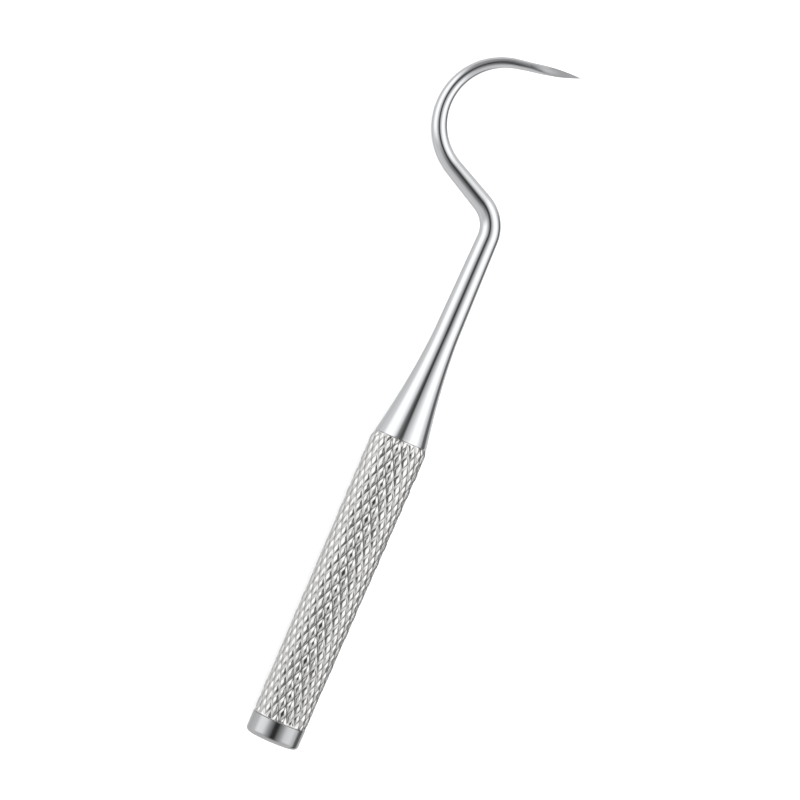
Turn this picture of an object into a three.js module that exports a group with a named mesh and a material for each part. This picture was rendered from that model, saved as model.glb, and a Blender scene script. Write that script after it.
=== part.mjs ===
// A single-ended dental hand scaler with a hollow knurled handle, in millimetres.
// It lies on its side, as on a tray. The handle's axis runs along +X from the end cap
// to the hook, and +Z is up. Lengths along the tool are measured from the cap's flat end.
import * as THREE from "three";

// Handle
const CAP_RADIUS = 5.0;
const CAP_BAND = 3.8; // length of the polished band behind the grip
const CAP_EDGE_RADIUS = 0.8;
const CAP_SPIGOT = 9; // length of the plug inside the tube
const TUBE_FRONT = 58.4; // where the grip stops and the cone starts
const TUBE_END_RADIUS = 4.95;
const BORE_RADIUS = 4.0;
const BUSH_LENGTH = 11;
const TANG_RADIUS = 2.5;
const TANG_LENGTH = 13;
const CHAMFER = 0.3;
const SEAM = 0.05; // gap between two faces that butt
const FIT_GAP = 0.05; // radial gap of a pressed fit

// Diamond knurl: two families of helical grooves, one of each hand
const KNURL_STARTS = 20; // grooves in each family
const KNURL_ROWS = 32; // rows of half diamonds along the grip
const KNURL_DEPTH = 0.36;
const KNURL_MARGIN = 0.45; // plain edge at each end of the tube
const CREST_RADIUS_BACK = 5.1;
const CREST_RADIUS_FRONT = 5.4;

// Cone and shank: a slow straight taper plus a flare that dies out along the cone
const CONE_BASE_RADIUS = 4.95;
const CONE_LENGTH = 21;
const CONE_POWER = 1.7;
const SHANK_RADIUS = 1.96; // at the first bend
const SHANK_TAPER = 0.0214; // radius gained per millimetre towards the handle

// Hook, bent in one plane: a first bend out, a straight, a long arc back and a straight end
const FIRST_BEND_START = 97.4;
const FIRST_BEND_RADIUS = 6.4;
const FIRST_BEND_ANGLE = THREE.MathUtils.degToRad(62.5);
const LIMB_LENGTH = 8.1;
const HOOK_RADIUS = 11.5;
const HOOK_ANGLE = THREE.MathUtils.degToRad(142);
const HOOK_END_LENGTH = 11.7;
const HOOK_TAPER = 0.0232; // radius lost per millimetre along the hook
const NECK_THINNING = 0.05; // further radius lost just before the blade
const NECK_LENGTH = 10;

// Blade: a leaf with three ground flats, its face towards the inside of the hook
const BLADE_LENGTH = 9.3;
const BLADE_GRIND_LENGTH = 5.5; // over which the round wire turns into flats
const BLADE_SWELL = 0.3;
const BLADE_WIDTH_RATIO = 0.85; // across the hook's plane, against the height in it
const BLADE_CORNER_POWER = 12; // higher is sharper
const TIP_RADIUS = 0.06;

// Facets
const LATHE_SEGMENTS = 48;
const WIRE_SIDES = 24;
const CONE_STEPS = 18;
const SHANK_STEPS = 6;
const BEND_STEP = THREE.MathUtils.degToRad(6);
const BLADE_STEPS = 12;

const polishedSteel = new THREE.MeshStandardMaterial({
  color: 0xd9dadc,
  metalness: 1,
  roughness: 0.12,
});
const knurledSteel = new THREE.MeshStandardMaterial({
  color: 0xcfd0d1,
  metalness: 1,
  roughness: 0.35,
});
const turnedSteel = new THREE.MeshStandardMaterial({
  color: 0xb9babc,
  metalness: 1,
  roughness: 0.45,
});

// The hook's centreline in the tool's own XY plane. It bulges to +Y.
function makeCentreline() {
  const path = new THREE.Path();
  path.moveTo(0, 0);
  path.lineTo(FIRST_BEND_START, 0);
  const quarter = Math.PI / 2;
  path.absarc(
    FIRST_BEND_START,
    FIRST_BEND_RADIUS,
    FIRST_BEND_RADIUS,
    -quarter,
    FIRST_BEND_ANGLE - quarter,
    false,
  );
  const limb = new THREE.Vector2(LIMB_LENGTH, 0).rotateAround(new THREE.Vector2(), FIRST_BEND_ANGLE);
  const limbEnd = path.currentPoint.clone().add(limb);
  path.lineTo(limbEnd.x, limbEnd.y);
  const toCentre = new THREE.Vector2(0, -HOOK_RADIUS).rotateAround(new THREE.Vector2(), FIRST_BEND_ANGLE);
  const centre = limbEnd.clone().add(toCentre);
  const arcStart = FIRST_BEND_ANGLE + quarter;
  path.absarc(centre.x, centre.y, HOOK_RADIUS, arcStart, arcStart - HOOK_ANGLE, true);
  const heading = FIRST_BEND_ANGLE - HOOK_ANGLE;
  const end = new THREE.Vector2(HOOK_END_LENGTH, 0).rotateAround(new THREE.Vector2(), heading);
  const tip = path.currentPoint.clone().add(end);
  path.lineTo(tip.x, tip.y);
  return path;
}

const centreline = makeCentreline();
const TOOL_LENGTH = centreline.getLength();
const BLADE_START = TOOL_LENGTH - BLADE_LENGTH;

// Radius of the round blank at a distance along its centreline.
function blankRadius(distance) {
  const beforeBend = Math.max(0, FIRST_BEND_START - distance);
  const afterBend = Math.max(0, distance - FIRST_BEND_START);
  const taper = SHANK_RADIUS + SHANK_TAPER * beforeBend - HOOK_TAPER * afterBend;
  const flareAtBase = CONE_BASE_RADIUS - SHANK_RADIUS - SHANK_TAPER * (FIRST_BEND_START - TUBE_FRONT);
  const alongCone = THREE.MathUtils.clamp((distance - TUBE_FRONT) / CONE_LENGTH, 0, 1);
  const flare = flareAtBase * (1 - alongCone) ** CONE_POWER;
  const neck = NECK_THINNING * THREE.MathUtils.smoothstep(distance, BLADE_START - NECK_LENGTH, BLADE_START);
  return taper + flare - neck;
}

// Half the blade's height in the hook's plane, from its neck (0) to its point (1).
function bladeHalfHeight(along) {
  const leaf = (1 - along ** 2) * (1 + BLADE_SWELL * along);
  return Math.max(TIP_RADIUS, blankRadius(BLADE_START) * leaf);
}

// Radius of a three-sided section with rounded corners whose flats lie 1 from its centre.
// The first flat is the face; the other two meet at the back.
function flatsRadius(angle) {
  const third = (2 * Math.PI) / 3;
  let sum = 0;
  for (const turn of [Math.PI, Math.PI + third, Math.PI - third]) {
    sum += Math.max(0, Math.cos(angle - turn)) ** BLADE_CORNER_POWER;
  }
  return sum ** (-1 / BLADE_CORNER_POWER);
}

const FACE_CORNER_ANGLE = (2 * Math.PI) / 3; // the back's corner is at angle 0
const BACK_CORNER = flatsRadius(0);
const FLATS_HALF_HEIGHT = (1 + BACK_CORNER) / 2;
const FLATS_HALF_WIDTH = flatsRadius(FACE_CORNER_ANGLE) * Math.sin(FACE_CORNER_ANGLE);

// One section's outline, as [out of the hook's curve, across its plane] pairs.
function sectionOutline(distance) {
  const along = Math.max(0, (distance - BLADE_START) / BLADE_LENGTH);
  const ground = THREE.MathUtils.smoothstep(distance, BLADE_START, BLADE_START + BLADE_GRIND_LENGTH);
  const halfHeight = along > 0 ? bladeHalfHeight(along) : blankRadius(distance);
  const heightScale = halfHeight / FLATS_HALF_HEIGHT;
  const widthScale = (halfHeight * BLADE_WIDTH_RATIO) / FLATS_HALF_WIDTH;
  const centreShift = BACK_CORNER - FLATS_HALF_HEIGHT;
  return Array.from({ length: WIRE_SIDES }, (_, i) => {
    const angle = (2 * Math.PI * i) / WIRE_SIDES;
    const flats = flatsRadius(angle);
    const flatOut = (flats * Math.cos(angle) - centreShift) * heightScale;
    const flatAcross = flats * Math.sin(angle) * widthScale;
    return [
      THREE.MathUtils.lerp(halfHeight * Math.cos(angle), flatOut, ground),
      THREE.MathUtils.lerp(halfHeight * Math.sin(angle), flatAcross, ground),
    ];
  });
}

// A ring of points square to the centreline, from outline pairs.
function ringAt(distance, outline) {
  const share = distance / TOOL_LENGTH;
  const point = centreline.getPoint(share);
  const tangent = centreline.getTangent(share);
  return outline.map(
    ([out, across]) => new THREE.Vector3(point.x - tangent.y * out, point.y + tangent.x * out, across),
  );
}

function roundOutline(radius) {
  return Array.from({ length: WIRE_SIDES }, (_, i) => {
    const angle = (2 * Math.PI * i) / WIRE_SIDES;
    return [radius * Math.cos(angle), radius * Math.sin(angle)];
  });
}

// Distances that cut a stretch into equal steps, its start included and its end left out.
function steps(start, end, count) {
  return Array.from({ length: count }, (_, i) => start + ((end - start) * i) / count);
}

// Joins equal rings, in order, into one closed surface. With loop set, the last ring meets
// the first; otherwise each end closes in a fan. splits(row, column) picks a face's diagonal.
function skinRings(rings, { loop = false, splits = () => true } = {}) {
  const sides = rings[0].length;
  const positions = rings.flat().flatMap((p) => p.toArray());
  const index = [];
  const rows = loop ? rings.length : rings.length - 1;
  for (let row = 0; row < rows; row++) {
    const here = row * sides;
    const next = ((row + 1) % rings.length) * sides;
    for (let i = 0; i < sides; i++) {
      const j = (i + 1) % sides;
      if (splits(row, i)) {
        index.push(here + i, here + j, next + j, here + i, next + j, next + i);
      } else {
        index.push(here + i, here + j, next + i, here + j, next + j, next + i);
      }
    }
  }
  if (!loop) {
    addFan(positions, index, rings[0], 0, false);
    addFan(positions, index, rings.at(-1), (rings.length - 1) * sides, true);
  }
  const geometry = new THREE.BufferGeometry();
  geometry.setAttribute("position", new THREE.Float32BufferAttribute(positions, 3));
  geometry.setIndex(index);
  geometry.computeVertexNormals();
  return geometry;
}

function addFan(positions, index, ring, first, outward) {
  const centre = positions.length / 3;
  const middle = ring.reduce((sum, p) => sum.add(p), new THREE.Vector3()).divideScalar(ring.length);
  positions.push(middle.x, middle.y, middle.z);
  for (let i = 0; i < ring.length; i++) {
    const j = (i + 1) % ring.length;
    index.push(centre, first + (outward ? i : j), first + (outward ? j : i));
  }
}

// Turns a profile of [distance along the tool, radius] pairs about the tool's axis.
function turned(profile) {
  const points = profile.map(([along, radius]) => new THREE.Vector2(radius, along));
  return new THREE.LatheGeometry(points, LATHE_SEGMENTS).rotateZ(-Math.PI / 2);
}

// Plug that closes the handle: a polished band with a rounded edge, and a spigot in the bore.
function makeEndCap() {
  const spigotRadius = BORE_RADIUS - FIT_GAP;
  const spigotEnd = CAP_BAND + CAP_SPIGOT;
  const edge = Array.from({ length: 5 }, (_, i) => {
    const angle = (Math.PI / 2) * (i / 4);
    return [
      CAP_EDGE_RADIUS * (1 - Math.cos(angle)),
      CAP_RADIUS - CAP_EDGE_RADIUS + CAP_EDGE_RADIUS * Math.sin(angle),
    ];
  });
  return turned([
    [0, 0],
    ...edge,
    [CAP_BAND, CAP_RADIUS],
    [CAP_BAND, spigotRadius],
    [spigotEnd - CHAMFER, spigotRadius],
    [spigotEnd, spigotRadius - CHAMFER],
    [spigotEnd, 0],
  ]);
}

// Bush in the front of the tube that holds the tang on the axis.
function makeTangBush() {
  const outer = BORE_RADIUS - FIT_GAP;
  const inner = TANG_RADIUS + FIT_GAP;
  const front = TUBE_FRONT - SEAM;
  const back = front - BUSH_LENGTH;
  return turned([
    [back, inner],
    [back, outer - CHAMFER],
    [back + CHAMFER, outer],
    [front, outer],
    [front, inner],
    [back, inner],
  ]);
}

// Hollow grip. Crests and roots alternate along and around it, so the roots join up into
// the two families of grooves and each crest stands as a diamond between them.
function makeHandleTube() {
  const sides = 2 * KNURL_STARTS;
  const back = CAP_BAND + SEAM;
  const knurlBack = back + KNURL_MARGIN;
  const knurlFront = TUBE_FRONT - KNURL_MARGIN;
  const ring = (along, radiusOf) =>
    Array.from({ length: sides }, (_, i) => {
      const angle = (2 * Math.PI * i) / sides;
      const radius = radiusOf(i);
      return new THREE.Vector3(along, radius * Math.sin(angle), radius * Math.cos(angle));
    });
  const isCrest = (row, column) => (row + column) % 2 === 0;
  const knurl = Array.from({ length: KNURL_ROWS + 1 }, (_, row) => {
    const share = row / KNURL_ROWS;
    const crest = THREE.MathUtils.lerp(CREST_RADIUS_BACK, CREST_RADIUS_FRONT, share);
    return ring(
      THREE.MathUtils.lerp(knurlBack, knurlFront, share),
      (i) => crest - (isCrest(row, i) ? 0 : KNURL_DEPTH),
    );
  });
  const rings = [
    ring(TUBE_FRONT, () => BORE_RADIUS),
    ring(TUBE_FRONT, () => TUBE_END_RADIUS),
    ...knurl.reverse(),
    ring(back, () => TUBE_END_RADIUS),
    ring(back, () => BORE_RADIUS),
  ];
  const firstKnurlRow = 2;
  const splits = (row, i) => !isCrest(KNURL_ROWS - (row - firstKnurlRow), i);
  return skinRings(rings, { loop: true, splits });
}

// Tang, cone, shank, hook and blade: one forging, turned along its straight centreline and
// then carried round the bends.
function makeWorkingEnd() {
  const tangBack = TUBE_FRONT - TANG_LENGTH;
  const bendStep = FIRST_BEND_RADIUS * BEND_STEP;
  const limbStart = FIRST_BEND_START + FIRST_BEND_RADIUS * FIRST_BEND_ANGLE;
  const arcStart = limbStart + LIMB_LENGTH;
  const arcEnd = arcStart + HOOK_RADIUS * HOOK_ANGLE;
  const coneEnd = TUBE_FRONT + CONE_LENGTH;
  const stations = [
    ...steps(TUBE_FRONT, coneEnd, CONE_STEPS),
    ...steps(coneEnd, FIRST_BEND_START, SHANK_STEPS),
    ...steps(FIRST_BEND_START, limbStart, Math.round((limbStart - FIRST_BEND_START) / bendStep)),
    ...steps(limbStart, arcStart, SHANK_STEPS),
    ...steps(arcStart, arcEnd, Math.round(HOOK_ANGLE / BEND_STEP)),
    arcEnd,
    ...steps(BLADE_START, TOOL_LENGTH, BLADE_STEPS),
    TOOL_LENGTH,
  ];
  const rings = [
    ringAt(tangBack, roundOutline(TANG_RADIUS - CHAMFER)),
    ringAt(tangBack + CHAMFER, roundOutline(TANG_RADIUS)),
    ringAt(TUBE_FRONT + SEAM, roundOutline(TANG_RADIUS)),
    ringAt(TUBE_FRONT + SEAM, roundOutline(CONE_BASE_RADIUS)),
    ...stations.slice(1).map((distance) => ringAt(distance, sectionOutline(distance))),
  ];
  return skinRings(rings);
}

// The tool rolls about its axis until the grip and the side of the hook both lie on the table.
function restRoll() {
  const bends = FIRST_BEND_RADIUS + HOOK_RADIUS;
  const reach = bends * (1 - Math.cos(FIRST_BEND_ANGLE)) + LIMB_LENGTH * Math.sin(FIRST_BEND_ANGLE);
  const outermost = FIRST_BEND_START + bends * FIRST_BEND_ANGLE + LIMB_LENGTH;
  return -Math.asin((CREST_RADIUS_FRONT - blankRadius(outermost)) / reach);
}

function named(name, geometry, material) {
  const mesh = new THREE.Mesh(geometry, material);
  mesh.name = name;
  return mesh;
}

// The grip is turned back by the roll, so that one row of its crests is lowest.
const instrument = new THREE.Group();
instrument.add(named("working_end", makeWorkingEnd(), polishedSteel));
instrument.add(named("handle_tube", makeHandleTube().rotateX(-restRoll()), knurledSteel));
instrument.add(named("end_cap", makeEndCap(), polishedSteel));
instrument.add(named("tang_bush", makeTangBush(), turnedSteel));
instrument.rotation.x = restRoll();

// The origin is the middle of the underside of the box round the whole tool.
const handScaler = new THREE.Group();
handScaler.add(instrument);
const box = new THREE.Box3().setFromObject(handScaler, true);
const middle = box.getCenter(new THREE.Vector3());
instrument.position.set(-middle.x, -middle.y, -box.min.z);

export default handScaler;
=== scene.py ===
"""Looks of a single-ended dental hand scaler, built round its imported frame.

The file is laid out as an add-on and is run as a script. Every size is in metres. Shapes are
worked out in the tool's own coordinates and then laid into the frame: "along" runs on the
handle's axis from the cap's flat end, "out" lies in the plane of the hook on the side that
it bulges to, and "across" is square to that plane.
"""

import math

import bpy
import numpy as np
from mathutils import Matrix, Vector


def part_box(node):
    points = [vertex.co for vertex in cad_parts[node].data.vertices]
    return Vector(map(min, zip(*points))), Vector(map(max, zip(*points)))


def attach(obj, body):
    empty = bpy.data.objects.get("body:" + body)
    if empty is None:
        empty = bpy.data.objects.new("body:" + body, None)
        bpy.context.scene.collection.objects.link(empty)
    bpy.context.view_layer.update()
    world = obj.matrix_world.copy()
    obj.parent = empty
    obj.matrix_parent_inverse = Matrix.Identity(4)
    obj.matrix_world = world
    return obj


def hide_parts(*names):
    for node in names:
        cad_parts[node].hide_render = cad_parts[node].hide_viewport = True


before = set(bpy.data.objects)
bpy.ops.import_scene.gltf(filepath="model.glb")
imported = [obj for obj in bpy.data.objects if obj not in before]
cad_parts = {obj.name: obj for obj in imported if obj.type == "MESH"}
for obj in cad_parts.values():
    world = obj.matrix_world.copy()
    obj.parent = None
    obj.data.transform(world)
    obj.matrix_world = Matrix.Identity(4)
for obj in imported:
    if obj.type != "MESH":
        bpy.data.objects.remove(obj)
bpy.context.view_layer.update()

bl_info = {
    "name": "Hand scaler",
    "version": (1, 0, 0),
    "blender": (4, 5, 0),
    "location": "View3D > Sidebar > Scaler",
    "description": "Fine surfaces, steel finishes and a studio for a dental hand scaler",
    "category": "Object",
}

MM = 0.001
FULL_TURN = 2 * math.pi
DEGREE = math.pi / 180
BODY = "root"
POLE_RADIUS = 0.2 * MM  # of the smallest ring of a flat turned end, round its pole
ARC_CLEARANCE = 1.3  # how far off its corner an eased profile is pinned, over the arc's reach
SEAM_LIP = 0.2 * MM  # length of the cone's first step behind its eased edge

CAP_LOW, CAP_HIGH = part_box("end_cap")
TUBE_LOW, TUBE_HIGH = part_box("handle_tube")
END_LOW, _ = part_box("working_end")
AXIS_START = Vector((CAP_LOW.x, (CAP_LOW.y + CAP_HIGH.y) / 2, (CAP_LOW.z + CAP_HIGH.z) / 2))
TUBE_BACK = TUBE_LOW.x - CAP_LOW.x
TUBE_FRONT = TUBE_HIGH.x - CAP_LOW.x
TANG_BACK = END_LOW.x - CAP_LOW.x
CAP_RADIUS = (CAP_HIGH.y - CAP_LOW.y) / 2
SPIGOT_END = CAP_HIGH.x - CAP_LOW.x


# ---------------------------------------------------------------- settings


class ScalerHandle(bpy.types.PropertyGroup):
    """Sizes of the cap and the knurled grip."""

    cap_edge: bpy.props.FloatProperty(
        name="Cap edge", description="Radius of the cap's rounded edge",
        default=0.8 * MM, unit="LENGTH",
    )
    bore: bpy.props.FloatProperty(
        name="Bore radius", description="Inside radius of the tube", default=4.0 * MM, unit="LENGTH"
    )
    edge_break: bpy.props.FloatProperty(
        name="Edge break", description="Radius that every turned edge is eased to",
        default=0.05 * MM, unit="LENGTH",
    )
    seam: bpy.props.FloatProperty(
        name="Seam", description="Gap between two pieces that butt",
        default=0.05 * MM, unit="LENGTH",
    )
    starts: bpy.props.IntProperty(
        name="Knurl starts", description="Grooves in each of the two families", default=20
    )
    diamonds: bpy.props.IntProperty(
        name="Diamonds", description="Diamonds along one line of the grip", default=16
    )
    depth: bpy.props.FloatProperty(
        name="Knurl depth", description="From a crest down to a groove",
        default=0.36 * MM, unit="LENGTH",
    )
    crest_back: bpy.props.FloatProperty(
        name="Crest radius, back", description="Crest radius beside the cap",
        default=5.1 * MM, unit="LENGTH",
    )
    crest_front: bpy.props.FloatProperty(
        name="Crest radius, front", description="Crest radius beside the cone",
        default=5.4 * MM, unit="LENGTH",
    )
    margin: bpy.props.FloatProperty(
        name="Margin", description="Plain edge at each end of the tube",
        default=0.45 * MM, unit="LENGTH",
    )
    end_radius: bpy.props.FloatProperty(
        name="End radius", description="Radius at the tube's two ends",
        default=4.95 * MM, unit="LENGTH",
    )


class ScalerHook(bpy.types.PropertyGroup):
    """Sizes of the cone, shank, hook and blade."""

    cone_radius: bpy.props.FloatProperty(
        name="Cone base", description="Radius of the cone against the grip",
        default=4.95 * MM, unit="LENGTH",
    )
    cone_length: bpy.props.FloatProperty(
        name="Cone length", description="Length over which the flare dies out",
        default=21.0 * MM, unit="LENGTH",
    )
    cone_power: bpy.props.FloatProperty(
        name="Cone power", description="How hollow the flare is; 1 is a straight cone", default=1.7
    )
    shank_radius: bpy.props.FloatProperty(
        name="Shank radius", description="Radius at the first bend",
        default=1.96 * MM, unit="LENGTH",
    )
    shank_taper: bpy.props.FloatProperty(
        name="Shank taper", description="Radius gained per length towards the handle",
        default=0.0214,
    )
    bend_start: bpy.props.FloatProperty(
        name="First bend", description="Distance from the cap's end to the first bend",
        default=97.4 * MM, unit="LENGTH",
    )
    bend_radius: bpy.props.FloatProperty(
        name="First bend radius", description="Radius of its centreline",
        default=6.4 * MM, unit="LENGTH",
    )
    bend_angle: bpy.props.FloatProperty(
        name="First bend angle", description="Turn out of the axis",
        default=math.radians(62.5), subtype="ANGLE",
    )
    limb: bpy.props.FloatProperty(
        name="Limb", description="Straight between the two bends", default=8.1 * MM, unit="LENGTH"
    )
    hook_radius: bpy.props.FloatProperty(
        name="Hook radius", description="Radius of the hook's centreline",
        default=11.5 * MM, unit="LENGTH",
    )
    hook_angle: bpy.props.FloatProperty(
        name="Hook angle", description="Turn back round the hook",
        default=math.radians(142.0), subtype="ANGLE",
    )
    end_length: bpy.props.FloatProperty(
        name="End length", description="Straight from the hook to the point",
        default=11.7 * MM, unit="LENGTH",
    )
    hook_taper: bpy.props.FloatProperty(
        name="Hook taper", description="Radius lost per length along the hook", default=0.0232
    )
    neck_thinning: bpy.props.FloatProperty(
        name="Neck thinning", description="Further radius lost before the blade",
        default=0.05 * MM, unit="LENGTH",
    )
    neck_length: bpy.props.FloatProperty(
        name="Neck length", description="Length that the neck thins over",
        default=10.0 * MM, unit="LENGTH",
    )
    blade_length: bpy.props.FloatProperty(
        name="Blade length", description="From the neck to the point",
        default=9.3 * MM, unit="LENGTH",
    )
    grind_length: bpy.props.FloatProperty(
        name="Grind length", description="Over which the round wire turns into flats",
        default=5.5 * MM, unit="LENGTH",
    )
    dull_length: bpy.props.FloatProperty(
        name="Dull length", description="Length before the blade that the wheel dulls",
        default=6.0 * MM, unit="LENGTH",
    )
    blade_swell: bpy.props.FloatProperty(
        name="Blade swell", description="Share by which the leaf widens before its point",
        default=0.3,
    )
    blade_width_ratio: bpy.props.FloatProperty(
        name="Blade width", description="Width across the hook's plane over height in it",
        default=0.85,
    )
    tip_radius: bpy.props.FloatProperty(
        name="Tip radius", description="Half the height left at the point",
        default=0.06 * MM, unit="LENGTH",
    )
    tang_radius: bpy.props.FloatProperty(
        name="Tang radius", description="Radius of the tang inside the bush",
        default=2.5 * MM, unit="LENGTH",
    )


def linear_colour(code):
    """sRGB hex digits as linear red, green and blue: a value up to 0.04045 is divided by 12.92,
    and a higher one follows a power of 2.4."""
    channels = [int(code[i : i + 2], 16) / 255 for i in (0, 2, 4)]
    return tuple(c / 12.92 if c <= 0.04045 else ((c + 0.055) / 1.055) ** 2.4 for c in channels)


class ScalerFinish(bpy.types.PropertyGroup):
    """Colours and roughness of the steels, and the painted shade in the knurl's grooves."""

    bright: bpy.props.FloatVectorProperty(
        name="Bright steel", description="Buffed stainless steel",
        default=linear_colour("cfd0d2"), subtype="COLOR",
    )
    cap: bpy.props.FloatVectorProperty(
        name="Cap steel", description="Buffed cap, a darker grade",
        default=linear_colour("b8b9ba"), subtype="COLOR",
    )
    satin: bpy.props.FloatVectorProperty(
        name="Satin steel", description="Tumbled stainless steel",
        default=linear_colour("dad9d8"), subtype="COLOR",
    )
    # Painted shade: the knurl's grooves take this darker grey. The turned bush's feed lines use it
    # as their own darker tone.
    groove: bpy.props.FloatVectorProperty(
        name="Groove", description="Steel in the knurl's grooves",
        default=linear_colour("989897"), subtype="COLOR",
    )
    turned: bpy.props.FloatVectorProperty(
        name="Turned steel", description="Steel as it leaves the lathe",
        default=linear_colour("b4b4b5"), subtype="COLOR",
    )
    cap_roughness: bpy.props.FloatProperty(
        name="Cap roughness", description="After a coarser buff", default=0.13, subtype="FACTOR"
    )
    bright_roughness: bpy.props.FloatProperty(
        name="Bright roughness", description="After buffing", default=0.1, subtype="FACTOR"
    )
    satin_roughness: bpy.props.FloatProperty(
        name="Satin roughness", description="After tumbling", default=0.22, subtype="FACTOR"
    )
    ground_roughness: bpy.props.FloatProperty(
        name="Ground roughness", description="Off the grinding wheel",
        default=0.32, subtype="FACTOR",
    )


class ScalerStudio(bpy.types.PropertyGroup):
    """Floor, light and camera."""

    view_width: bpy.props.FloatProperty(
        name="View width", description="Width that the picture spans at the tool",
        default=142.9 * MM, unit="LENGTH",
    )
    lens: bpy.props.FloatProperty(
        name="Lens", description="Focal length on a 36 mm sensor", default=165.0, subtype="NONE"
    )
    lean: bpy.props.FloatProperty(
        name="Lean", description="Lean of the handle in the picture",
        default=math.radians(23.38), subtype="ANGLE",
    )
    tilt: bpy.props.FloatProperty(
        name="Tilt", description="Tilt of the camera towards the hook",
        default=math.radians(0.0), subtype="ANGLE",
    )
    aim_along: bpy.props.FloatProperty(
        name="Aim along", description="Picture's centre, along the tool",
        default=64.9 * MM, unit="LENGTH",
    )
    aim_out: bpy.props.FloatProperty(
        name="Aim out", description="Picture's centre, off the axis",
        default=2.95 * MM, unit="LENGTH",
    )
    floor_size: bpy.props.FloatProperty(
        name="Floor", description="Side of the floor", default=3.0, unit="LENGTH"
    )
    tent_radius: bpy.props.FloatProperty(
        name="Tent", description="Radius of the light tent", default=0.6, unit="LENGTH"
    )
    ambient: bpy.props.FloatProperty(
        name="Ambient", description="Strength of the light on the floor", default=1.7
    )


# ---------------------------------------------------------------- meshes


def stitch(rows, sides, closed_rows):
    """Quads of a grid whose columns wrap, and whose rows wrap too when closed_rows is set."""
    row = np.arange(rows if closed_rows else rows - 1)[:, None]
    column = np.arange(sides)[None, :]
    here, above = row * sides, (row + 1) % rows * sides
    right = (column + 1) % sides
    quads = np.stack([here + column, here + right, above + right, above + column], axis=-1)
    return quads.reshape(-1, 4)


def fan(pole, first, sides, forward):
    """Triangles from one pole to a ring of points."""
    a = np.arange(sides)
    b = (a + 1) % sides
    ring = (first + a, first + b) if forward else (first + b, first + a)
    return np.stack([np.full(sides, pole), *ring], axis=-1)


def make_piece(name, grid, poles=None, split=None):
    """A closed smooth mesh from a grid of points, shape (rows, sides, 3), in metres.

    Columns wrap. Without poles the rows wrap as well; with two poles each end closes in a fan.
    split, shape (rows, sides), is True where a quad is cut from its first to its third corner.
    """
    rows, sides = grid.shape[:2]
    points = grid.reshape(-1, 3)
    quads = stitch(rows, sides, poles is None)
    if split is None:
        faces = quads.tolist()
    else:
        chosen = split.reshape(-1)[: len(quads), None]
        first = np.where(chosen, quads[:, [0, 1, 2]], quads[:, [0, 1, 3]])
        second = np.where(chosen, quads[:, [0, 2, 3]], quads[:, [1, 2, 3]])
        faces = np.concatenate([first, second]).tolist()
    if poles is not None:
        count = len(points)
        points = np.vstack([points, poles])
        faces += fan(count, 0, sides, False).tolist()
        faces += fan(count + 1, count - sides, sides, True).tolist()
    mesh = bpy.data.meshes.new(name)
    mesh.from_pydata(points.tolist(), [], faces)
    mesh.polygons.foreach_set("use_smooth", np.ones(len(mesh.polygons), bool))
    mesh.validate()
    mesh.update()
    piece = bpy.data.objects.new(name, mesh)
    bpy.context.scene.collection.objects.link(piece)
    return piece


def add_attribute(piece, name, values):
    """Stores one number for each point of the piece, for its material to read."""
    layer = piece.data.attributes.new(name, "FLOAT", "POINT")
    padded = np.zeros(len(piece.data.vertices), np.float32)
    padded[: values.size] = values.reshape(-1)
    layer.data.foreach_set("value", padded)


def smoothstep(low, high, value):
    """0 below low, 1 above high, and 3t^2 - 2t^3 between them."""
    t = np.clip((value - low) / (high - low), 0, 1)
    return t * t * (3 - 2 * t)


def eased_profile(corners, arc_points=5):
    """A profile of [along, radius] corners, each rounded by an arc of its own radius.

    corners holds (along, radius, ease). Each arc is tangent to its two sides: it starts and
    ends at ease / tan(half the corner's angle) from the corner. A further point stands just
    off each end of an arc, which keeps the shading of the long sides flat.
    """
    out = []
    for before, here, after in zip(corners[:-2], corners[1:-1], corners[2:]):
        corner, ease = np.array(here[:2]), here[2]
        back = np.array(before[:2]) - corner
        ahead = np.array(after[:2]) - corner
        back /= np.linalg.norm(back)
        ahead /= np.linalg.norm(ahead)
        half = math.acos(np.clip(back @ ahead, -1, 1)) / 2
        reach = ease / math.tan(half)
        middle = (back + ahead) / np.linalg.norm(back + ahead)
        centre = corner + middle * ease / math.sin(half)
        start, end = corner + back * reach - centre, corner + ahead * reach - centre
        angle = math.acos(np.clip(start @ end / ease**2, -1, 1))
        share = np.linspace(0, 1, arc_points)[:, None]
        arc = (np.sin((1 - share) * angle) * start + np.sin(share * angle) * end) / math.sin(angle)
        off = reach * ARC_CLEARANCE
        out += [corner + back * off, *(centre + arc), corner + ahead * off]
    return np.array([corners[0][:2], *out, corners[-1][:2]])


# ---------------------------------------------------------------- the tool's own coordinates


def hook_segments(hook):
    """Length and curvature of each stretch of the hook's centreline."""
    return (
        (hook.bend_start, 0.0),
        (hook.bend_radius * hook.bend_angle, 1 / hook.bend_radius),
        (hook.limb, 0.0),
        (hook.hook_radius * hook.hook_angle, -1 / hook.hook_radius),
        (hook.end_length, 0.0),
    )


def centreline(hook, distance):
    """Position and heading at distances along the centreline.

    Heading is the sum of curvature times length travelled. A straight adds its length times
    (cos, sin) of the heading; an arc adds the change of (sin, -cos) of the heading over its
    curvature.
    """
    along, out = np.zeros_like(distance), np.zeros_like(distance)
    heading = np.zeros_like(distance)
    start, first_heading = 0.0, 0.0
    for length, curvature in hook_segments(hook):
        travelled = np.clip(distance - start, 0, length)
        if curvature:
            here = first_heading + curvature * travelled
            along += (np.sin(here) - math.sin(first_heading)) / curvature
            out += (math.cos(first_heading) - np.cos(here)) / curvature
        else:
            along += travelled * math.cos(first_heading)
            out += travelled * math.sin(first_heading)
        heading += curvature * travelled
        start += length
        first_heading += curvature * length
    return along, out, heading


def tool_length(hook):
    """Length of the whole centreline, from the cap's end to the point."""
    return sum(length for length, _ in hook_segments(hook))


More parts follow.
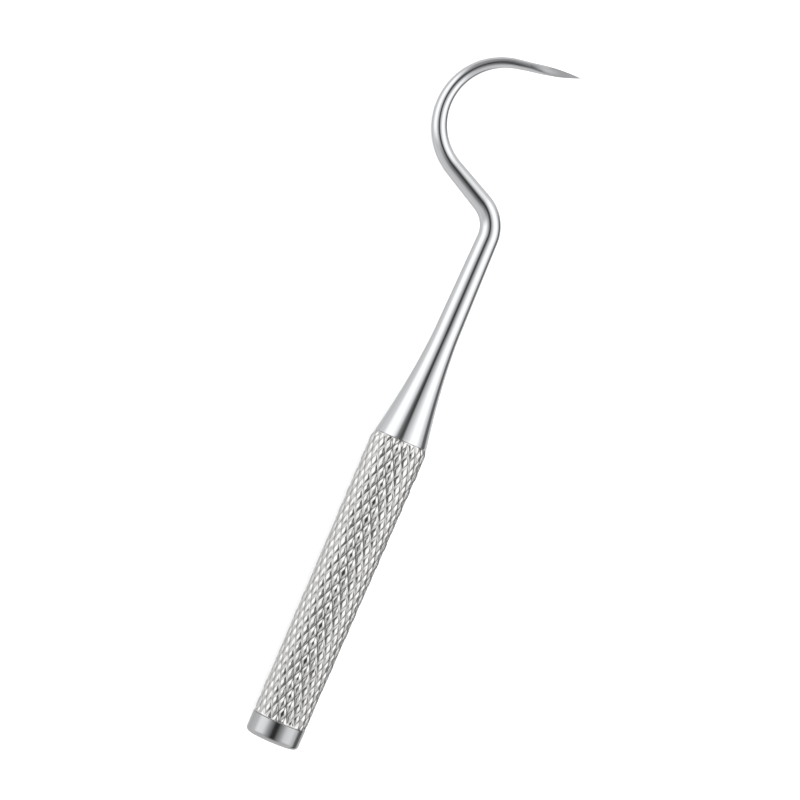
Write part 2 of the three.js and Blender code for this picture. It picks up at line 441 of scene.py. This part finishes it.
def blank_radius(hook, distance):
    """Radius of the round blank: a straight taper, plus a flare (1 - u)^power along the cone,
    less a smooth neck just before the blade."""
    taper = (
        hook.shank_radius
        + hook.shank_taper * np.maximum(0, hook.bend_start - distance)
        - hook.hook_taper * np.maximum(0, distance - hook.bend_start)
    )
    flare = hook.cone_radius - hook.shank_radius - hook.shank_taper * (hook.bend_start - TUBE_FRONT)
    along_cone = np.clip((distance - TUBE_FRONT) / hook.cone_length, 0, 1)
    blade_start = tool_length(hook) - hook.blade_length
    neck = hook.neck_thinning * smoothstep(blade_start - hook.neck_length, blade_start, distance)
    return taper + flare * (1 - along_cone) ** hook.cone_power - neck


def rest_roll(handle, hook):
    """Roll that lays both the grip and the hook's side on the table: the sine is the gap
    between their radii over the hook's reach."""
    bends = hook.bend_radius + hook.hook_radius
    reach = bends * (1 - math.cos(hook.bend_angle)) + hook.limb * math.sin(hook.bend_angle)
    outermost = np.array([hook.bend_start + bends * hook.bend_angle + hook.limb])
    return math.asin((handle.crest_front - blank_radius(hook, outermost)[0]) / reach)


def lay(points):
    """Turns points from the tool's coordinates (along, out, across) into the frame's."""
    scene = bpy.context.scene
    roll = rest_roll(scene.scaler_handle, scene.scaler_hook)
    along, out, across = points[..., 0], points[..., 1], points[..., 2]
    return np.stack(
        [
            AXIS_START.x + along,
            AXIS_START.y + out * math.cos(roll) + across * math.sin(roll),
            AXIS_START.z - out * math.sin(roll) + across * math.cos(roll),
        ],
        axis=-1,
    )


def tool_axes():
    """The tool's three directions in the frame, as the columns of a matrix."""
    scene = bpy.context.scene
    roll = rest_roll(scene.scaler_handle, scene.scaler_hook)
    return Matrix.Rotation(-roll, 3, "X")


def revolve(profile, sides):
    """A grid of points from an [along, radius] profile turned about the handle's axis."""
    turn = np.arange(sides) / sides * FULL_TURN
    along = np.repeat(profile[:, :1], sides, axis=1)
    radius = profile[:, 1:]
    return np.stack([along, radius * np.cos(turn), radius * np.sin(turn)], axis=-1)


def finish_piece(piece, material, node):
    """Gives a piece its material and body, and hides the node that it replaces."""
    piece.data.materials.append(material)
    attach(piece, BODY)
    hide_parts(node)


# ---------------------------------------------------------------- materials


def add_node(tree, kind, inputs=None, **settings):
    """Adds a shader node: settings are its properties, inputs its values or links by name."""
    node = tree.nodes.new(kind)
    for name, value in settings.items():
        setattr(node, name, value)
    for name, value in (inputs or {}).items():
        socket = node.inputs[name]
        if isinstance(value, bpy.types.NodeSocket):
            tree.links.new(value, socket)
        else:
            socket.default_value = value
    return node


def new_material(name):
    """An empty node material and its output node."""
    material = bpy.data.materials.new(name)
    material.use_nodes = True
    material.node_tree.nodes.clear()
    return material, material.node_tree, add_node(material.node_tree, "ShaderNodeOutputMaterial")


def tool_coordinates(tree):
    """Object coordinates centred on the cap's end and turned onto the tool's axes, in metres."""
    coordinates = add_node(tree, "ShaderNodeTexCoord")
    roll = tool_axes().to_euler()
    centred = add_node(
        tree,
        "ShaderNodeVectorMath",
        {0: coordinates.outputs["Object"], 1: AXIS_START},
        operation="SUBTRACT",
    )
    turned = add_node(
        tree,
        "ShaderNodeMapping",
        {"Vector": centred.outputs[0], "Rotation": (-roll.x, 0, 0)},
        vector_type="POINT",
    )
    return turned.outputs["Vector"]


def fine_lines(tree, place, spacing, length):
    """Noise drawn out into lines: spacing apart along the tool and length long round it."""
    stretched = add_node(
        tree,
        "ShaderNodeVectorMath",
        {0: place, 1: (1 / spacing, 1 / length, 1 / length)},
        operation="MULTIPLY",
    )
    lines = add_node(
        tree,
        "ShaderNodeTexNoise",
        {"Vector": stretched.outputs[0], "Scale": 1.0, "Detail": 3.0, "Roughness": 0.6},
    )
    return lines.outputs["Fac"]


def buffed_stainless(name, colour, buffed_roughness):
    """Martensitic stainless steel, turned, buffed to a mirror and ground at the blade.

    The eye sees clean soft-edged bands of the studio, barely broken by polishing lines, and
    a matt grey where the grinding wheel has cut the blade's flats. A piece without the
    "ground" attribute, such as the cap, is buffed all over.
    """
    finish = bpy.context.scene.scaler_finish
    material, tree, output = new_material(name)
    place = tool_coordinates(tree)
    # Polishing lines are a few microns apart; here they are 0.12 mm, so that they show.
    lines = fine_lines(tree, place, 0.12 * MM, 4 * MM)
    # Slow ripples, 6 mm across, are what a buffing wheel leaves in a hand-polished curve.
    ripple = add_node(
        tree,
        "ShaderNodeTexNoise",
        {"Vector": place, "Scale": 1 / (6 * MM), "Detail": 1.0},
    )
    ground = add_node(tree, "ShaderNodeAttribute", attribute_name="ground")
    smear = add_node(
        tree,
        "ShaderNodeMapRange",
        {
            "Value": ripple.outputs["Fac"],
            "To Min": 0.8 * buffed_roughness,
            "To Max": 1.3 * buffed_roughness,
        },
    )
    roughness = add_node(
        tree,
        "ShaderNodeMix",
        {
            "Factor": ground.outputs["Fac"],
            "A": smear.outputs["Result"],
            "B": finish.ground_roughness,
        },
        data_type="FLOAT",
    )
    depth = add_node(
        tree,
        "ShaderNodeMapRange",
        {"Value": ground.outputs["Fac"], "To Min": 0.03, "To Max": 0.25},
    )
    bump = add_node(
        tree,
        "ShaderNodeBump",
        {"Strength": depth.outputs["Result"], "Distance": 0.01 * MM, "Height": lines},
    )
    steel = add_node(
        tree,
        "ShaderNodeBsdfPrincipled",
        {
            "Base Color": (*colour, 1),
            "Metallic": 1.0,
            "Roughness": roughness.outputs["Result"],
            "Normal": bump.outputs["Normal"],
        },
    )
    tree.links.new(steel.outputs["BSDF"], output.inputs["Surface"])
    return material


def knurled_stainless():
    """Stainless tube with a rolled diamond knurl, tumbled to a satin.

    The eye sees bright worn crests and grey flanks. The grooves, where tumbling media don't reach,
    are rougher, and their darker colour is a painted shade, darkest where two grooves cross.
    """
    finish = bpy.context.scene.scaler_finish
    material, tree, output = new_material("knurled_satin_steel_groove_shade")
    place = tool_coordinates(tree)
    groove = add_node(tree, "ShaderNodeAttribute", attribute_name="groove")
    # Tumbling leaves fine pits about 0.08 mm apart.
    pits = add_node(
        tree,
        "ShaderNodeTexNoise",
        {"Vector": place, "Scale": 1 / (0.08 * MM), "Detail": 2.0},
    )
    # Painted shade: the colour runs from the satin grey to the darker groove grey where the grooves
    # cut deepest.
    colour = add_node(
        tree,
        "ShaderNodeMix",
        {"Factor": groove.outputs["Fac"], "A": (*finish.satin, 1), "B": (*finish.groove, 1)},
        data_type="RGBA",
    )
    roughness = add_node(
        tree,
        "ShaderNodeMapRange",
        {
            "Value": groove.outputs["Fac"],
            "To Min": 0.75 * finish.satin_roughness,
            "To Max": 1.5 * finish.satin_roughness,
        },
    )
    bump = add_node(
        tree,
        "ShaderNodeBump",
        {"Strength": 0.15, "Distance": 0.01 * MM, "Height": pits.outputs["Fac"]},
    )
    steel = add_node(
        tree,
        "ShaderNodeBsdfPrincipled",
        {
            "Base Color": colour.outputs["Result"],
            "Metallic": 1.0,
            "Roughness": roughness.outputs["Result"],
            "Normal": bump.outputs["Normal"],
        },
    )
    tree.links.new(steel.outputs["BSDF"], output.inputs["Surface"])
    return material


def turned_stainless():
    """Stainless bar as it leaves the lathe: a dull grey with fine feed lines round it."""
    finish = bpy.context.scene.scaler_finish
    material, tree, output = new_material("turned_stainless_steel")
    place = tool_coordinates(tree)
    # A finishing cut feeds about 0.1 mm a turn.
    lines = fine_lines(tree, place, 0.1 * MM, 20 * MM)
    bump = add_node(
        tree, "ShaderNodeBump", {"Strength": 0.5, "Distance": 0.01 * MM, "Height": lines}
    )
    tint = add_node(
        tree,
        "ShaderNodeMix",
        {"Factor": lines, "A": (*finish.groove, 1), "B": (*finish.turned, 1)},
        data_type="RGBA",
    )
    steel = add_node(
        tree,
        "ShaderNodeBsdfPrincipled",
        {
            "Base Color": tint.outputs["Result"],
            "Metallic": 1.0,
            "Roughness": 0.4,
            "Normal": bump.outputs["Normal"],
        },
    )
    tree.links.new(steel.outputs["BSDF"], output.inputs["Surface"])
    return material


# ---------------------------------------------------------------- pieces


class SCALER_OT_end_cap(bpy.types.Operator):
    """Turns the polished cap with its rounded edge and its spigot"""

    bl_idname = "scaler.end_cap"
    bl_label = "End cap"
    sides = 160

    def execute(self, context):
        handle = context.scene.scaler_handle
        band_end = TUBE_BACK - handle.seam
        spigot = handle.bore - handle.seam
        ease = handle.edge_break
        profile = eased_profile(
            [
                (0, POLE_RADIUS, 0),
                (0, CAP_RADIUS, handle.cap_edge),
                (band_end, CAP_RADIUS, ease),
                (band_end, spigot, ease),
                (SPIGOT_END, spigot, 3 * ease),
                (SPIGOT_END, POLE_RADIUS, 0),
            ],
            arc_points=9,
        )
        grid = revolve(profile, self.sides)
        poles = lay(np.array([[0, 0, 0], [SPIGOT_END, 0, 0]]))
        piece = make_piece("polished_end_cap", lay(grid), poles)
        finish = context.scene.scaler_finish
        steel = buffed_stainless("buffed_cap_steel", finish.cap, finish.cap_roughness)
        finish_piece(piece, steel, "end_cap")
        return {"FINISHED"}


class SCALER_OT_handle_tube(bpy.types.Operator):
    """Rolls the diamond knurl into the tube"""

    bl_idname = "scaler.handle_tube"
    bl_label = "Knurled tube"
    samples = 15  # grid steps in one diamond, both ways
    nose = 1.2 * MM  # length over which the crests come down to the cone
    wear_seed = 7
    least_wear, most_wear = 0.3, 0.58  # how far crests are flattened, as shares of the depth
    runout = 0.2 * MM  # length over which a groove runs out at either end
    late = 0.2 * MM  # most that a groove stops short of the end

    def groove_phases(self, handle, along, turn):
        """Phases of the two families: starts times the turn, plus or minus the length over one
        diamond's length. A groove's centre is at every whole phase."""
        length = (along - TUBE_BACK) / (TUBE_FRONT - TUBE_BACK) * handle.diamonds
        around = handle.starts * turn
        return around + length, around - length

    def groove_cuts(self, phases):
        """How deep each family cuts, 1 at a groove's centre and 0 halfway to the next: a V,
        1 - 2d, half mixed with a cosine, which rounds its bottom."""
        cuts = []
        for phase in phases:
            off_centre = np.abs(phase - np.round(phase))
            vee = 1 - 2 * off_centre
            cuts.append(0.6 * vee + 0.4 * (0.5 + 0.5 * np.cos(FULL_TURN * off_centre)))
        return cuts

    def worn_crests(self, handle, phases, random):
        """A random share by which each diamond's top is worn, the same all over the diamond.

        A diamond is known by the whole parts of its two phases. Their difference and, round
        the tube, their sum pick a value from a random table.
        """
        first, second = np.floor(phases[0]).astype(int), np.floor(phases[1]).astype(int)
        shape = (4 * handle.diamonds, 2 * handle.starts)
        table = random.uniform(self.least_wear, self.most_wear, shape)
        return table[(first - second) % len(table), (first + second) % (2 * handle.starts)]

    def groove_envelope(self, handle, from_end, turn, random):
        """1 along the grip, falling to 0 at an end by a smoothstep that starts at a random
        distance for each groove and is joined by straight lines round the tube."""
        stops = np.resize(random.uniform(0, self.late, handle.starts), handle.starts + 1)
        stop = np.interp(turn, np.linspace(0, 1, handle.starts + 1), stops)
        return smoothstep(-0.3 * self.runout, self.runout, from_end - stop)

    def execute(self, context):
        handle = context.scene.scaler_handle
        random = np.random.default_rng(self.wear_seed)
        columns = handle.starts * self.samples
        rows = handle.diamonds * self.samples
        turn = np.arange(columns)[None, :] / columns
        along = np.linspace(TUBE_BACK, TUBE_FRONT, rows + 1)[:, None]
        share = (along - TUBE_BACK) / (TUBE_FRONT - TUBE_BACK)
        crest = handle.crest_back + (handle.crest_front - handle.crest_back) * share
        from_back, from_front = along - TUBE_BACK, TUBE_FRONT - along
        back_ease = np.sin(np.clip(from_back / handle.margin, 0, 1) * math.pi / 2)
        front_ease = np.sin(np.clip(from_front / self.nose, 0, 1) * math.pi / 2)
        crest = handle.end_radius + (crest - handle.end_radius) * back_ease * front_ease
        phases = self.groove_phases(handle, along, turn)
        cuts = self.groove_cuts(phases)
        cut = (cuts[0] ** 6 + cuts[1] ** 6) ** (1 / 6)
        cut = np.maximum(cut, self.worn_crests(handle, phases, random))
        envelope = self.groove_envelope(handle, from_front, turn, random)
        envelope = envelope * self.groove_envelope(handle, from_back, turn, random)
        radius = crest - handle.depth * np.clip(cut, 0, 1) * envelope
        angle = turn * FULL_TURN
        outer = np.stack(
            [np.broadcast_to(along, radius.shape), radius * np.cos(angle), radius * np.sin(angle)],
            axis=-1,
        )
        ease = handle.edge_break
        inside = np.array(
            [
                (TUBE_FRONT, handle.bore + ease),
                (TUBE_FRONT - ease, handle.bore),
                (TUBE_BACK + ease, handle.bore),
                (TUBE_BACK, handle.bore + ease),
            ]
        )
        grid = np.concatenate([outer, revolve(inside, columns)])
        # Painted shade: each point's share of darkening, highest where the two grooves cross, which
        # the knurl's material mixes into its colour.
        depth = np.zeros(grid.shape[:2])
        depth[: len(outer)] = cuts[0] * cuts[1] * envelope
        low_first = radius[:-1] + np.roll(radius, -1, axis=1)[1:]
        low_second = np.roll(radius, -1, axis=1)[:-1] + radius[1:]
        split = np.ones(grid.shape[:2], bool)
        split[: len(outer) - 1] = low_first < low_second
        piece = make_piece("knurled_handle_tube", lay(grid), split=split)
        add_attribute(piece, "groove", depth)
        finish_piece(piece, knurled_stainless(), "handle_tube")
        return {"FINISHED"}


class SCALER_OT_working_end(bpy.types.Operator):
    """Forges the cone, shank, hook and blade in one piece"""

    bl_idname = "scaler.working_end"
    bl_label = "Working end"
    sides = 96
    step = 0.2 * MM
    blade_step = 0.06 * MM
    flat_sharpness = 26

    def flats_radius(self, angle):
        """Radius of a three-sided section whose flats lie 1 from its centre.

        It is the negative power mean of the three flats' own distances, which rounds the
        corners a little. The face looks back into the hook; the others meet at the back.
        """
        total = 0.0
        for flat in (math.pi, math.pi / 3, -math.pi / 3):
            total = total + np.maximum(0, np.cos(angle - flat)) ** self.flat_sharpness
        return total ** (-1 / self.flat_sharpness)

    def sections(self, hook, distance):
        """Outlines (out, across) at each distance, and how far each one is dulled: a smoothstep
        from just before the blade to the middle of its grind."""
        blade_start = tool_length(hook) - hook.blade_length
        along = np.clip((distance - blade_start) / hook.blade_length, 0, 1)[:, None]
        leaf = (1 - along**2) * (1 + hook.blade_swell * along)
        neck = blank_radius(hook, np.array([blade_start]))[0]
        half_height = np.where(
            along > 0,
            np.maximum(hook.tip_radius, neck * leaf),
            blank_radius(hook, distance)[:, None],
        )
        angle = (np.arange(self.sides) / self.sides * FULL_TURN)[None, :]
        flats = self.flats_radius(angle)
        back = self.flats_radius(0.0)
        corner = self.flats_radius(FULL_TURN / 3) * math.sin(FULL_TURN / 3)
        tall = (1 + back) / 2
        flat_out = (flats * np.cos(angle) - (back - tall)) * half_height / tall
        flat_across = flats * np.sin(angle) * half_height * hook.blade_width_ratio / corner
        ground = smoothstep(blade_start, blade_start + hook.grind_length, distance)[:, None]
        out = half_height * np.cos(angle) * (1 - ground) + flat_out * ground
        across = half_height * np.sin(angle) * (1 - ground) + flat_across * ground
        dulled = smoothstep(
            blade_start - hook.dull_length, blade_start + hook.grind_length / 2, distance
        )
        return out, across, dulled[:, None]

    def execute(self, context):
        handle, hook = context.scene.scaler_handle, context.scene.scaler_hook
        total = tool_length(hook)
        blade_start = total - hook.blade_length
        cone_start = TUBE_FRONT + handle.seam
        ease = handle.edge_break
        tang = eased_profile(
            [
                (TANG_BACK, POLE_RADIUS, 0),
                (TANG_BACK, hook.tang_radius, 3 * ease),
                (cone_start, hook.tang_radius, ease),
                (cone_start, hook.cone_radius, ease),
                (cone_start + 1 * MM, blank_radius(hook, np.array([cone_start + 1 * MM]))[0], 0),
            ]
        )[:-1]
        wire = np.arange(cone_start + SEAM_LIP, blade_start, self.step)
        blade = np.arange(blade_start, total, self.blade_step)
        distance = np.concatenate([wire, blade, [total]])
        out, across, dulled = self.sections(hook, distance)
        along, middle, heading = (v[:, None] for v in centreline(hook, distance))
        bent = np.stack(
            [along - np.sin(heading) * out, middle + np.cos(heading) * out, across], axis=-1
        )
        turned = revolve(tang, self.sides)
        grid = np.concatenate([turned, bent])
        tip = [along[-1, 0], middle[-1, 0], 0]
        poles = lay(np.array([[TANG_BACK, 0, 0], tip]))
        piece = make_piece("polished_working_end", lay(grid), poles)
        cut = np.zeros(grid.shape[:2])
        cut[len(turned) :] = dulled
        add_attribute(piece, "ground", cut)
        finish = context.scene.scaler_finish
        steel = buffed_stainless("buffed_stainless_steel", finish.bright, finish.bright_roughness)
        finish_piece(piece, steel, "working_end")
        return {"FINISHED"}


class SCALER_OT_tang_bush(bpy.types.Operator):
    """Gives the hidden bush its turned finish"""

    bl_idname = "scaler.tang_bush"
    bl_label = "Tang bush"

    def execute(self, context):
        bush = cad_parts["tang_bush"]
        bush.data.materials.clear()
        bush.data.materials.append(turned_stainless())
        return {"FINISHED"}


# ---------------------------------------------------------------- studio


def bounce_board():
    """Matt white melamine board: an even pale ground with the faintest tooth."""
    material, tree, output = new_material("matt_white_board")
    coordinates = add_node(tree, "ShaderNodeTexCoord")
    # The board's moulded tooth is about 0.5 mm across.
    tooth = add_node(
        tree,
        "ShaderNodeTexNoise",
        {"Vector": coordinates.outputs["Object"], "Scale": 1 / (0.5 * MM), "Detail": 2.0},
    )
    bump = add_node(
        tree,
        "ShaderNodeBump",
        {"Strength": 0.1, "Distance": 0.02 * MM, "Height": tooth.outputs["Fac"]},
    )
    board = add_node(
        tree,
        "ShaderNodeBsdfPrincipled",
        {
            "Base Color": (*linear_colour("f2f2f2"), 1),
            "Roughness": 0.8,
            "Specular IOR Level": 0.1,
            "Normal": bump.outputs["Normal"],
        },
    )
    tree.links.new(board.outputs["BSDF"], output.inputs["Surface"])
    return material


def tent_fabric():
    """White tent cloth lit from behind: its glow is the brightness that the steel mirrors."""
    material, tree, output = new_material("light_tent_cloth")
    glow = add_node(tree, "ShaderNodeAttribute", attribute_name="glow")
    lamp = add_node(
        tree, "ShaderNodeEmission", {"Color": (1, 1, 1, 1), "Strength": glow.outputs["Fac"]}
    )
    tree.links.new(lamp.outputs["Emission"], output.inputs["Surface"])
    return material


# How bright the tent's parts are, as strengths of an emission.
CLOTH_GLOW = 0.8
DARK_CLOTH_DROP = 0.38
BOX_GLOW = 1.6
SPOT_GLOW = 0.04
FLAG_GLOW = 0.17


def within(value, full, none):
    """1 up to full, falling to 0 at none by a smoothstep."""
    return 1 - smoothstep(full, none, value)


def bearing_gap(azimuth, middle):
    """Angle between two bearings, from 0 to half a turn."""
    return np.abs((azimuth - middle + math.pi) % FULL_TURN - math.pi)


def tent_glow(polar, azimuth):
    """Brightness of the tent in a direction, from its angle off the tool's upper side (polar)
    and its bearing round the tool (azimuth, 0 towards the point, 90 degrees on the hook's side).

    Two long softboxes stand on either side of the tool, a little towards its point. The glow
    falls in a straight line to a dark spot overhead, which is drawn out along the tool. A dark
    cloth hangs beyond the point, and a narrow dark flag stands low on the side that the
    hook opens to.
    """
    cloth = within(bearing_gap(azimuth, 30 * DEGREE), 18 * DEGREE, 50 * DEGREE)
    base = CLOTH_GLOW - DARK_CLOTH_DROP * cloth
    left_box = within(bearing_gap(azimuth, 78 * DEGREE), 20 * DEGREE, 40 * DEGREE)
    right_box = within(bearing_gap(azimuth, -62 * DEGREE), 30 * DEGREE, 56 * DEGREE)
    plateau = base + (BOX_GLOW - base) * np.maximum(left_box, right_box)
    towards_point = within(bearing_gap(azimuth, 5 * DEGREE), 8 * DEGREE, 28 * DEGREE)
    towards_cap = within(bearing_gap(azimuth, math.pi), 20 * DEGREE, 60 * DEGREE)
    spot = 5 * DEGREE + 10 * DEGREE * towards_point
    spot = spot + 12 * DEGREE * towards_cap
    climb = np.clip((polar - spot) / (42 * DEGREE), 0, 1)
    high = SPOT_GLOW + (plateau - SPOT_GLOW) * climb
    past = smoothstep(72 * DEGREE, 96 * DEGREE, polar)
    low = 0.9 - 0.15 * smoothstep(104 * DEGREE, 126 * DEGREE, polar)
    glow = high * (1 - past) + low * past
    flag = smoothstep(96 * DEGREE, 110 * DEGREE, polar)
    flag = flag * within(polar, 126 * DEGREE, 140 * DEGREE)
    flag = flag * within(bearing_gap(azimuth, -90 * DEGREE), 30 * DEGREE, 60 * DEGREE)
    return glow * (1 - flag) + FLAG_GLOW * flag


class SCALER_OT_stage(bpy.types.Operator):
    """Sets the floor, the light tent and the camera"""

    bl_idname = "scaler.stage"
    bl_label = "Studio"
    tent_rows = 180
    tent_sides = 360

    floor_lines = 33

    def add_floor(self, studio):
        """A flat square sheet, finer towards its middle: side times the cube of the grid."""
        half = studio.floor_size / 2
        count = self.floor_lines
        line = half * np.linspace(-1, 1, count) ** 3
        x, y = np.meshgrid(line, line)
        points = np.stack([x, y, np.zeros_like(x)], axis=-1).reshape(-1, 3)
        row, column = np.meshgrid(np.arange(count - 1), np.arange(count - 1), indexing="ij")
        first = (row * count + column).reshape(-1)
        quads = np.stack([first, first + 1, first + count + 1, first + count], axis=-1)
        mesh = bpy.data.meshes.new("floor")
        mesh.from_pydata(points.tolist(), [], quads.tolist())
        floor = bpy.data.objects.new("floor", mesh)
        bpy.context.scene.collection.objects.link(floor)
        floor.data.materials.append(bounce_board())
        floor.visible_glossy = False

    def add_tent(self, studio, aim, axes):
        """A sphere round the tool: polar angle down its rows and bearing round its columns."""
        polar = np.linspace(0.5, 179.5, self.tent_rows)[:, None] * DEGREE
        azimuth = (np.arange(self.tent_sides) / self.tent_sides * FULL_TURN)[None, :]
        unit = np.stack(
            [
                np.sin(polar) * np.cos(azimuth),
                np.sin(polar) * np.sin(azimuth),
                np.broadcast_to(np.cos(polar), (self.tent_rows, self.tent_sides)),
            ],
            axis=-1,
        )
        turn = np.array(axes)
        centre = np.array(aim)
        grid = centre + studio.tent_radius * unit @ turn.T
        up = turn[:, 2] * studio.tent_radius
        tent = make_piece("light_tent", grid, np.array([centre + up, centre - up]))
        add_attribute(tent, "glow", tent_glow(polar, azimuth))
        tent.data.materials.append(tent_fabric())
        tent.visible_camera = False
        tent.visible_diffuse = False
        tent.visible_shadow = False

    def add_world(self, studio):
        """An even white sky, for the floor and the backdrop."""
        world = bpy.data.worlds.new("white_studio")
        world.use_nodes = True
        sky = world.node_tree.nodes["Background"]
        sky.inputs["Color"].default_value = (1, 1, 1, 1)
        sky.inputs["Strength"].default_value = studio.ambient
        world.cycles_visibility.glossy = False
        bpy.context.scene.world = world

    def add_lamp(self, name, aim, offset, power):
        """A soft square lamp that looks at the tool and doesn't show in the steel."""
        lamp = bpy.data.objects.new(name, bpy.data.lights.new(name, "AREA"))
        lamp.data.size = 0.5
        lamp.data.energy = power
        lamp.location = aim + offset
        lamp.rotation_euler = (-offset).to_track_quat("-Z", "Y").to_euler()
        lamp.visible_glossy = False
        bpy.context.scene.collection.objects.link(lamp)

    def add_camera(self, studio, aim, axes):
        """Square to the hook's plane but for the tilt, with the handle leaning to the right."""
        tilt, lean = studio.tilt, studio.lean
        back = (axes.col[2] * math.cos(tilt) + axes.col[0] * math.sin(tilt)).normalized()
        along = (axes.col[0] - back * axes.col[0].dot(back)).normalized()
        left = back.cross(along)
        up = along * math.cos(lean) + left * math.sin(lean)
        right = along * math.sin(lean) - left * math.cos(lean)
        data = bpy.data.cameras.new("camera")
        data.sensor_width = 36.0
        data.lens = studio.lens
        reach = studio.view_width * studio.lens / data.sensor_width
        camera = bpy.data.objects.new("camera", data)
        turn = Matrix((right, up, back)).transposed()
        camera.matrix_world = Matrix.Translation(aim + back * reach) @ turn.to_4x4()
        bpy.context.scene.collection.objects.link(camera)
        bpy.context.scene.camera = camera

    def execute(self, context):
        studio = context.scene.scaler_studio
        axes = tool_axes()
        aim = Vector(lay(np.array([studio.aim_along, studio.aim_out, 0.0])))
        self.add_camera(studio, aim, axes)
        self.add_floor(studio)
        self.add_tent(studio, aim, axes)
        self.add_world(studio)
        self.add_lamp("left_lamp", aim, Vector((-0.2, 0.5, 0.8)), 2.0)
        self.add_lamp("right_lamp", aim, Vector((0.2, -0.5, 0.8)), 2.0)
        context.scene.view_settings.view_transform = "Standard"
        return {"FINISHED"}


# ---------------------------------------------------------------- panel and registration

OPERATORS = (
    SCALER_OT_stage,
    SCALER_OT_end_cap,
    SCALER_OT_handle_tube,
    SCALER_OT_working_end,
    SCALER_OT_tang_bush,
)
SETTINGS = {
    "scaler_handle": ScalerHandle,
    "scaler_hook": ScalerHook,
    "scaler_finish": ScalerFinish,
    "scaler_studio": ScalerStudio,
}


class SCALER_PT_pieces(bpy.types.Panel):
    """Lists the pieces and their settings"""

    bl_idname = "SCALER_PT_pieces"
    bl_label = "Hand scaler"
    bl_space_type = "VIEW_3D"
    bl_region_type = "UI"
    bl_category = "Scaler"

    def draw(self, context):
        for operator in OPERATORS:
            self.layout.operator(operator.bl_idname)
        for name, group in SETTINGS.items():
            box = self.layout.box()
            for field in group.__annotations__:
                box.prop(getattr(context.scene, name), field)


def register():
    """Registers the settings, the operators and the panel."""
    for name, group in SETTINGS.items():
        bpy.utils.register_class(group)
        setattr(bpy.types.Scene, name, bpy.props.PointerProperty(type=group))
    for operator in OPERATORS:
        bpy.utils.register_class(operator)
    bpy.utils.register_class(SCALER_PT_pieces)


def unregister():
    """Takes back what register added."""
    bpy.utils.unregister_class(SCALER_PT_pieces)
    for operator in reversed(OPERATORS):
        bpy.utils.unregister_class(operator)
    for name, group in SETTINGS.items():
        delattr(bpy.types.Scene, name)
        bpy.utils.unregister_class(group)


def main():
    """Makes every piece and the studio."""
    register()
    bpy.ops.scaler.stage()
    bpy.ops.scaler.end_cap()
    bpy.ops.scaler.handle_tube()
    bpy.ops.scaler.working_end()
    bpy.ops.scaler.tang_bush()


if __name__ == "__main__":
    main()
